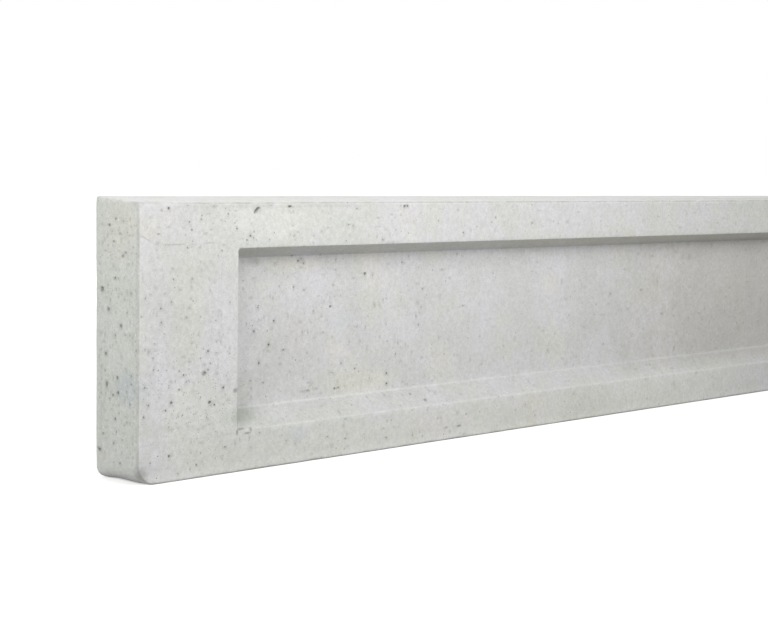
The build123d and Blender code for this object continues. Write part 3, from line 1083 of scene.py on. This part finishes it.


# ---------------------------------------------------------------- the two finishes of the concrete


# Local stains and patches of painted shade: tint, place and reach in metres, strength
STAINS = (
    ("blue", (-0.915, -0.012, 0.068), (0.020, 0.020, 0.018), 0.42),
    ("blue", (-0.7665, -0.025, 0.0215), (0.0115, 0.020, 0.009), 0.32),
    ("blue", (-0.700, -0.010, 0.096), (0.030, 0.020, 0.020), 0.15),
    ("straw", (-0.915, -0.005, 0.178), (0.020, 0.030, 0.040), 0.45),
    ("straw", (-0.760, -0.010, 0.149), (0.042, 0.006, 0.008), 0.60),
    ("straw", (-0.690, -0.010, 0.054), (0.060, 0.020, 0.016), 0.72),
    ("straw", (-0.870, -0.025, 0.120), (0.020, 0.010, 0.070), 0.30),
    ("lilac", (-0.897, -0.025, 0.105), (0.020, 0.010, 0.080), 0.60),
    ("lilac", (-0.845, -0.025, 0.115), (0.020, 0.010, 0.060), 0.55),
    ("pale", (-0.800, -0.025, 0.182), (0.070, 0.010, 0.022), 0.45),
    ("pale", (-0.290, -0.025, 0.020), (0.180, 0.010, 0.030), 0.55),
    ("pale", (-0.868, -0.025, 0.030), (0.048, 0.010, 0.048), 0.25),
    ("dull", (-0.868, -0.025, 0.140), (0.055, 0.010, 0.090), 0.22),
    # Painted shade: the sunk panel darker towards the right end of the recess.
    ("dull", (-0.050, -0.010, 0.095), (0.420, 0.012, 0.400), 0.90),
    # Painted shadow of the left recess wall on the panel beside it, in this and the next patch.
    ("dull", (-0.765, -0.010, 0.088), (0.060, 0.012, 0.045), 0.35),
    ("dull", (-0.808, -0.010, 0.060), (0.020, 0.006, 0.020), 0.40),
    ("moss_and_shadow", (-0.799, -0.010, 0.152), (0.010, 0.004, 0.004), 0.55),
    # Painted shadow: the left recess wall's shadow on the ledge.
    ("moss_and_shadow", (-0.8195, -0.018, 0.0415), (0.027, 0.012, 0.0105), 0.85),
    ("ochre", (-0.915, 0.0149, 0.0168), (0.010, 0.0035, 0.0055), 0.45),
    ("ochre", (-0.812, -0.018, 0.158), (0.026, 0.010, 0.006), 0.35),
    ("ochre", (-0.915, -0.0154, 0.1852), (0.010, 0.0016, 0.0022), 0.90),
    ("straw", (-0.350, -0.019, 0.160), (0.420, 0.012, 0.006), 0.80),
    ("rust", (-0.8575, -0.025, 0.0753), (0.003, 0.010, 0.0028), 0.80),
    # Painted shadow: the dark crease where the left wall's shadow falls.
    ("moss_and_shadow", (-0.812, -0.0115, 0.044), (0.026, 0.008, 0.0042), 0.55),
    ("ochre", (-0.855, -0.025, 0.016), (0.060, 0.010, 0.022), 0.10),
    ("straw", (-0.500, -0.025, 0.012), (0.420, 0.010, 0.026), 0.40),
    ("dull", (-0.180, -0.018, 0.038), (0.300, 0.010, 0.020), 0.20),
)
# Dirt and breaks, and two darkened places at the near end, laid over the pale lines of the arrises
DIRT_MARKS = (
    ("dirt", (-0.8278, -0.0245, 0.0605), (0.0034, 0.005, 0.0030), 1.00),
    ("dirt", (-0.915, 0.0218, 0.0216), (0.0040, 0.0018, 0.0018), 0.85),
    # Darkens the front foot corner of the near end.
    ("dirt", (-0.913, -0.0235, 0.0070), (0.0085, 0.0070, 0.0110), 0.62),
    ("dirt", (-0.913, -0.0200, 0.1965), (0.0060, 0.0130, 0.0035), 0.30),
    ("dirt", (-0.780, -0.0250, 0.1938), (0.1300, 0.0040, 0.0026), 0.16),
    ("hole", (-0.7615, -0.0110, 0.1556), (0.0017, 0.0040, 0.0014), 0.95),
    ("dirt", (-0.915, 0.0185, 0.0520), (0.0040, 0.0010, 0.0600), 0.28),
    # Darkens the near end's front vertical arris over its whole height.
    ("dirt", (-0.9147, -0.0237, 0.0900), (0.0014, 0.0020, 0.4000), 0.32),
    ("dirt", (-0.8262, -0.0245, 0.0297), (0.0015, 0.0040, 0.0034), 0.90),
    ("dirt", (-0.748, -0.0105, 0.0515), (0.0075, 0.0040, 0.0018), 0.42),
    ("dirt", (-0.735, -0.0105, 0.0522), (0.0030, 0.0040, 0.0015), 0.40),
    ("dirt", (-0.8225, -0.0245, 0.0315), (0.0048, 0.0040, 0.0014), 0.95),
    ("dirt", (-0.816, -0.0250, 0.0281), (0.0048, 0.0040, 0.0013), 0.95),
    ("dirt", (-0.813, -0.0250, 0.0304), (0.0019, 0.0040, 0.0026), 0.85),
    ("dirt", (-0.903, -0.0215, 0.1970), (0.0220, 0.0060, 0.0030), 0.25),
)
# Mould lines on the near end block: height, start and end along the board, rise at the start, strength
MOULD_LINES = (
    (0.1677, -0.9137, -0.848, 0.0060, 0.62),
    (0.0285, -0.9140, -0.830, 0.0, 0.15),
)
MOULD_LINE_WIDTH = 1 * MM
# Where the block has more pores, the top arris is clean, and the ledge and its arrises lie in painted shadow
RIDDLED = {"Place": (-0.868, -0.025, 0.062), "Reach": (0.075, 0.010, 0.075)}
CLEAN_ARRIS = {"Place": (-0.895, -0.025, 0.197), "Reach": (0.045, 0.010, 0.012)}
SHADED_LEDGE_CORNER = {"Place": (-0.820, -0.018, 0.040), "Reach": (0.045, 0.020, 0.030)}
# Pores and specks that are only colour and bump: spacing and size in metres, share of cells, strength
FINE_PORES = (0.0028, 0.00043, 0.58, 0.56)
WIDE_PORES = (0.0075, 0.00056, 0.40, 0.80)
EXTRA_PORES = (0.0022, 0.00046, 0.36, 0.62)
PALE_SPECKS = (0.0030, 0.00060, 0.50, 0.80)


def mark(g, name):
    """One of the marks that the mesh carries for the material."""
    return g.node("ShaderNodeAttribute", attribute_name=name, attribute_type="GEOMETRY").outputs["Fac"]


def stained(g, colour, place, patch, finish, stains):
    """The colour with local stains and painted shade laid over it."""
    tints = {"blue": finish.blue, "rust": finish.rust, "straw": finish.straw, "lilac": finish.lilac,
             "pale": finish.pale, "dull": finish.dull, "moss_and_shadow": finish.moss_and_shadow, "ochre": finish.ochre,
             "dirt": finish.dirt, "hole": finish.pore}
    for tint, centre, reach, strength in stains:
        mask = g.group(patch, {"Vector": place, "Place": centre, "Reach": reach}).outputs["Mask"]
        colour = g.mix(g.math("MULTIPLY", mask, strength), colour, tints[tint])
    return colour


def sprinkled(g, place, pores, kind):
    """A mask of pores or specks of one kind."""
    spacing, size, share, strength = kind
    mask = g.group(pores, {"Vector": place, "Spacing": spacing, "Size": size, "Share": share}).outputs["Mask"]
    return g.math("MULTIPLY", mask, strength)


def cement_shade(g, place, bloom, grain, finish):
    """How bright the concrete is: blooms and grain, with painted light and shade: darker towards the foot but
    lighter at its lowest edge, lighter on the top strip, and darker on the recess walls.
    """
    tone = g.ramp(bloom.outputs["Tone"], 0.3, 0.7, 0.955, 1.045)
    sand = g.ramp(grain.outputs["Value"], 0.25, 0.75, 1 - 0.13 * finish.grain, 1 + 0.13 * finish.grain)
    height = g.node("ShaderNodeSeparateXYZ", {0: place}).outputs[2]
    # Painted shade: darker towards the foot, lighter towards the top.
    height_shade = g.ramp(height, -0.01, 0.2, 1 - finish.painted_height_shade * 0.55, 1 + finish.painted_height_shade * 0.45)
    # Painted light: the top strip is made lighter because it faces the light.
    painted_top_light = g.ramp(height, 0.1950, 0.1972, 1.0, 1.033)
    # Painted light: the lowest 10 mm is made lighter to offset the shade on the downward-facing rounding.
    painted_foot_light = g.ramp(height, 0.010, 0.0, 1.0, 1.10)
    shade = g.math("MULTIPLY", g.math("MULTIPLY", tone, sand), height_shade)
    shade = g.math("MULTIPLY", shade, g.math("MULTIPLY", painted_top_light, painted_foot_light))
    # Painted shade: the recess walls and the ledge are made darker.
    return g.less(shade, mark(g, "wall"), finish.painted_wall_shade)


def pore_mask(g, place, groups, rear):
    """Fine pores. The end faces have fewer, the back far fewer, and part of the near block more."""
    pores = g.math("MAXIMUM", sprinkled(g, place, groups["pores"], FINE_PORES),
                   sprinkled(g, place, groups["pores"], WIDE_PORES))
    if rear:
        return g.math("MULTIPLY", pores, 0.4)
    pores = g.less(pores, g.ramp(mark(g, "end_face"), 0.0, 1.0), 0.28)
    riddled = g.group(groups["patch"], {"Vector": place, **RIDDLED}).outputs["Mask"]
    extra = g.math("MULTIPLY", sprinkled(g, place, groups["pores"], EXTRA_PORES), riddled)
    return g.math("MAXIMUM", pores, extra)


def line_masks(g, place, groups, rear):
    """Masks of the dark lines (worn outer arrises, mould lines) and the pale ones (recess arris, crease)."""
    parts = g.node("ShaderNodeSeparateXYZ", {0: place}).outputs
    dark = g.math("MULTIPLY", mark(g, "arris"), g.ramp(g.noise(place, 90.0, 3.0), 0.3, 0.62, 0.35, 0.95))
    dark = g.math("MULTIPLY", dark, g.ramp(parts[2], 0.0, 0.004, 0.65, 1.0))
    crease, mouth = mark(g, "crease"), mark(g, "mouth")
    if not rear:
        clean = g.group(groups["patch"], {"Vector": place, **CLEAN_ARRIS}).outputs["Mask"]
        dark = g.less(dark, clean, 0.7)
        for height, start, end, rise, strength in MOULD_LINES:
            line = g.group(groups["line"], {"Vector": place, "Height": height, "Width": MOULD_LINE_WIDTH,
                                            "Rise": rise, "From": start, "To": end})
            dark = g.math("MAXIMUM", dark, g.math("MULTIPLY", line.outputs["Mask"], strength))
        # The pale crease and recess arris are held back where the painted shadow lies on the ledge.
        shaded_corner = g.group(groups["patch"], {"Vector": place, **SHADED_LEDGE_CORNER}).outputs["Mask"]
        crease = g.less(crease, shaded_corner, 0.5)
        crease = g.math("MULTIPLY", crease, g.ramp(parts[0], -0.70, -0.35, 1.0, 0.5))
        mouth = g.less(mouth, shaded_corner)
    pale = g.math("ADD", g.math("MULTIPLY", mouth, 0.5), g.math("MULTIPLY", crease, 0.8))
    pale = g.math("MULTIPLY", pale, g.ramp(g.noise(place, 45.0, 3.0, offset=3.0), 0.3, 0.6, 0.45, 1.0))
    return dark, pale


def concrete_material(name, groups, finish, rear):
    """Cast concrete. The rear of the casting was floated by hand and has no stains or mould lines."""
    material = bpy.data.materials.new(name)
    material.use_nodes = True
    g = Graph(material.node_tree)
    g.tree.nodes.clear()
    place = g.node("ShaderNodeTexCoord").outputs["Object"]
    bloom = g.group(groups["bloom"], {"Vector": place, "Patch size": 0.085 if rear else 0.052,
                                      "Strength": finish.mottling})
    grain = g.group(groups["grain"], {"Vector": place, "Grain size": 0.0021 if rear else 0.0012})
    pores = pore_mask(g, place, groups, rear)
    dark, pale = line_masks(g, place, groups, rear)

    colour = g.mix(mark(g, "sunk"), finish.base, finish.sunk)
    colour = g.mix(bloom.outputs["Cool"], colour, finish.lilac)
    colour = g.mix(g.math("MULTIPLY", bloom.outputs["Warm"], 0.6), colour, finish.straw)
    colour = g.mix(g.math("MULTIPLY", mark(g, "end_face"), 0.7), colour, finish.end)
    if not rear:
        colour = stained(g, colour, place, groups["patch"], finish, STAINS)
    beside = g.node("ShaderNodeVectorMath", {0: place, 1: (0.31, 0.17, 0.53)}, operation="ADD").outputs[0]
    colour = g.mix(sprinkled(g, beside, groups["pores"], PALE_SPECKS), colour, finish.pale)
    colour = g.mix(g.math("MULTIPLY", dark, 0.75), colour, finish.joint)
    colour = g.mix(pale, colour, finish.pale)
    if not rear:
        colour = stained(g, colour, place, groups["patch"], finish, DIRT_MARKS)
    colour = g.mix(pores, colour, finish.pore)
    # Painted shade inside the pits: darker the deeper they are for their size.
    colour = g.mix(g.math("MULTIPLY", mark(g, "pit"), 0.92, clamp=True), colour, finish.pore)
    shade = cement_shade(g, place, bloom, grain, finish)
    grey = g.node("ShaderNodeCombineColor", {0: shade, 1: shade, 2: shade})
    colour = g.mix(1.0, colour, grey.outputs[0], "MULTIPLY")

    height = g.math("SUBTRACT", grain.outputs["Height"], g.math("MULTIPLY", pores, 1.6))
    if rear:
        drag = g.node("ShaderNodeMapping", {"Vector": place, "Scale": (14.0, 1.0, 120.0)}).outputs[0]
        height = g.math("ADD", height, g.math("MULTIPLY", g.noise(drag, 1.0, 4.0, 0.6), 1.5))
    else:
        height = g.math("SUBTRACT", height, g.math("MULTIPLY", dark, 0.5))
    bump = g.node("ShaderNodeBump", {"Strength": 0.35, "Distance": 0.0003, "Height": height})
    rough = g.ramp(grain.outputs["Value"], 0.25, 0.75, 0.80, 0.94)
    shader = g.node("ShaderNodeBsdfPrincipled", {"Base Color": colour, "Roughness": rough,
                                                 "Specular IOR Level": 0.25, "Normal": bump.outputs[0]})
    g.node("ShaderNodeOutputMaterial", {"Surface": shader.outputs[0]})
    return material


# ---------------------------------------------------------------- operators


class OBJECT_OT_cast_board(bpy.types.Operator):
    """Cast the gravel board: one detailed skin that stands for the plain solid, with its concrete."""
    bl_idname = "object.cast_board"
    bl_label = "Cast the board"
    bl_options = {"REGISTER", "UNDO"}

    def execute(self, context):
        sizes, finish = context.scene.board_sizes, context.scene.concrete_finish
        mesh = board_mesh(sizes, finish)
        board = bpy.data.objects.new(PIECE, mesh)
        context.scene.collection.objects.link(board)
        groups = {"bloom": bloom_group(), "pores": pore_group(), "grain": grain_group(),
                  "patch": patch_group(), "line": line_group()}
        mesh.materials.append(concrete_material("cast_concrete", groups, finish, rear=False))
        mesh.materials.append(concrete_material("floated_concrete", groups, finish, rear=True))
        rear = np.zeros(len(mesh.vertices), np.float32)
        mesh.attributes["rear"].data.foreach_get("value", rear)
        for polygon in mesh.polygons:
            polygon.material_index = int(min(rear[n] for n in polygon.vertices) > 0.5)
        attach(board, "root")
        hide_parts("gravel_board")
        return {"FINISHED"}


def area_lamp(context, name, power, size, place, target):
    """A square lamp that faces a target."""
    data = bpy.data.lights.new(name, "AREA")
    data.energy, data.size = power, size
    lamp = bpy.data.objects.new(name, data)
    lamp.location = place
    lamp.rotation_euler = (Vector(target) - Vector(place)).to_track_quat("-Z", "Y").to_euler()
    lamp.visible_camera = False
    context.scene.collection.objects.link(lamp)
    return lamp


def seen_or_bright(g):
    """1 for rays that should see a white background: from the camera, a mirror or glass."""
    path = g.node("ShaderNodeLightPath").outputs
    seen = g.math("MAXIMUM", path["Is Camera Ray"], path["Is Glossy Ray"])
    return g.math("MAXIMUM", seen, path["Is Transmission Ray"])


class OBJECT_OT_set_stage(bpy.types.Operator):
    """Set the stage: a plain pale floor, white surroundings, soft lamps and the camera."""
    bl_idname = "object.set_stage"
    bl_label = "Set the stage"
    bl_options = {"REGISTER", "UNDO"}

    def execute(self, context):
        scene, settings = context.scene, context.scene.stage_settings
        self.add_floor(context, settings)
        self.light(context, settings)
        self.add_camera(context, settings)
        scene.view_settings.view_transform = "Standard"
        return {"FINISHED"}

    def add_floor(self, context, settings):
        """A wide level floor that shows white to the camera and keeps the board's shadow."""
        mesh = bpy.data.meshes.new("floor")
        half = FLOOR_SIZE / 2
        mesh.from_pydata([(-half, -half, 0), (half, -half, 0), (half, half, 0), (-half, half, 0)],
                         [], [(0, 1, 2, 3)])
        floor = bpy.data.objects.new("floor", mesh)
        context.scene.collection.objects.link(floor)
        material = bpy.data.materials.new("studio_floor")
        material.use_nodes = True
        g = Graph(material.node_tree)
        g.tree.nodes.clear()
        matt = g.node("ShaderNodeBsdfDiffuse", {"Color": tuple(settings.floor)}).outputs[0]
        dull = g.node("ShaderNodeBsdfDiffuse", {"Color": FLOOR_AS_REFLECTOR}).outputs[0]
        place = g.node("ShaderNodeTexCoord").outputs["Object"]
        away = g.node("ShaderNodeVectorMath", {0: place}, operation="LENGTH").outputs["Value"]
        bright = g.ramp(away, *GLOW_REACH, 0.5, 1.0)
        glow = g.node("ShaderNodeEmission", {"Color": (1, 1, 1), "Strength": bright}).outputs[0]
        shown = g.node("ShaderNodeAddShader", {0: matt, 1: glow}).outputs[0]
        mixed = g.node("ShaderNodeMixShader", {0: seen_or_bright(g), 1: dull, 2: shown}).outputs[0]
        g.node("ShaderNodeOutputMaterial", {"Surface": mixed})
        mesh.materials.append(material)

    def light(self, context, settings):
        """Even surroundings and the soft lamps."""
        world = bpy.data.worlds.new("studio")
        context.scene.world = world
        world.use_nodes = True
        g = Graph(world.node_tree)
        g.tree.nodes.clear()
        dim = g.node("ShaderNodeBackground", {"Color": (1, 1, 1), "Strength": settings.surround}).outputs[0]
        white = g.node("ShaderNodeBackground", {"Color": (1, 1, 1), "Strength": 1.0}).outputs[0]
        mixed = g.node("ShaderNodeMixShader", {0: seen_or_bright(g), 1: dim, 2: white}).outputs[0]
        g.node("ShaderNodeOutputWorld", {"Surface": mixed})
        for name, power, size, place in LAMPS:
            area_lamp(context, name, power * settings.lamps, size, place, LAMP_TARGET)

    def add_camera(self, context, settings):
        """The camera of the photograph, from its fitted place and angles."""
        ahead = Vector((math.cos(settings.yaw), math.sin(settings.yaw), 0))
        side = Vector((math.sin(settings.yaw), -math.cos(settings.yaw), 0))
        rise = Vector((0, 0, 1))
        look = ahead * math.cos(settings.pitch) - rise * math.sin(settings.pitch)
        above = ahead * math.sin(settings.pitch) + rise * math.cos(settings.pitch)
        right = side * math.cos(settings.roll) + above * math.sin(settings.roll)
        up = above * math.cos(settings.roll) - side * math.sin(settings.roll)
        data = bpy.data.cameras.new("camera")
        data.lens, data.sensor_width = settings.lens, 36
        camera = bpy.data.objects.new("camera", data)
        turn = Matrix((right, up, -look)).transposed().to_4x4()
        camera.matrix_world = Matrix.Translation(settings.place) @ turn
        context.scene.collection.objects.link(camera)
        context.scene.camera = camera


class VIEW3D_PT_gravel_board(bpy.types.Panel):
    """Sizes, finish and stage of the gravel board."""
    bl_idname = "VIEW3D_PT_gravel_board"
    bl_label = "Gravel board"
    bl_space_type = "VIEW_3D"
    bl_region_type = "UI"
    bl_category = "Gravel board"

    def draw(self, context):
        layout = self.layout
        for title, group, operator in (
                ("Sizes", context.scene.board_sizes, None),
                ("Concrete", context.scene.concrete_finish, OBJECT_OT_cast_board.bl_idname),
                ("Stage", context.scene.stage_settings, OBJECT_OT_set_stage.bl_idname)):
            box = layout.box()
            box.label(text=title)
            for name in group.__annotations__:
                box.prop(group, name)
            if operator:
                box.operator(operator)


CLASSES = (BoardSizes, ConcreteFinish, StageSettings, OBJECT_OT_cast_board, OBJECT_OT_set_stage,
           VIEW3D_PT_gravel_board)


def register():
    """Registers the classes and hangs the settings on the scene."""
    for item in CLASSES:
        bpy.utils.register_class(item)
    bpy.types.Scene.board_sizes = bpy.props.PointerProperty(type=BoardSizes)
    bpy.types.Scene.concrete_finish = bpy.props.PointerProperty(type=ConcreteFinish)
    bpy.types.Scene.stage_settings = bpy.props.PointerProperty(type=StageSettings)


def unregister():
    """Takes the settings and the classes away again."""
    del bpy.types.Scene.board_sizes, bpy.types.Scene.concrete_finish, bpy.types.Scene.stage_settings
    for item in reversed(CLASSES):
        bpy.utils.unregister_class(item)


def main():
    """Builds everything in order."""
    register()
    bpy.ops.object.cast_board()
    bpy.ops.object.set_stage()


if __name__ == "__main__":
    main()
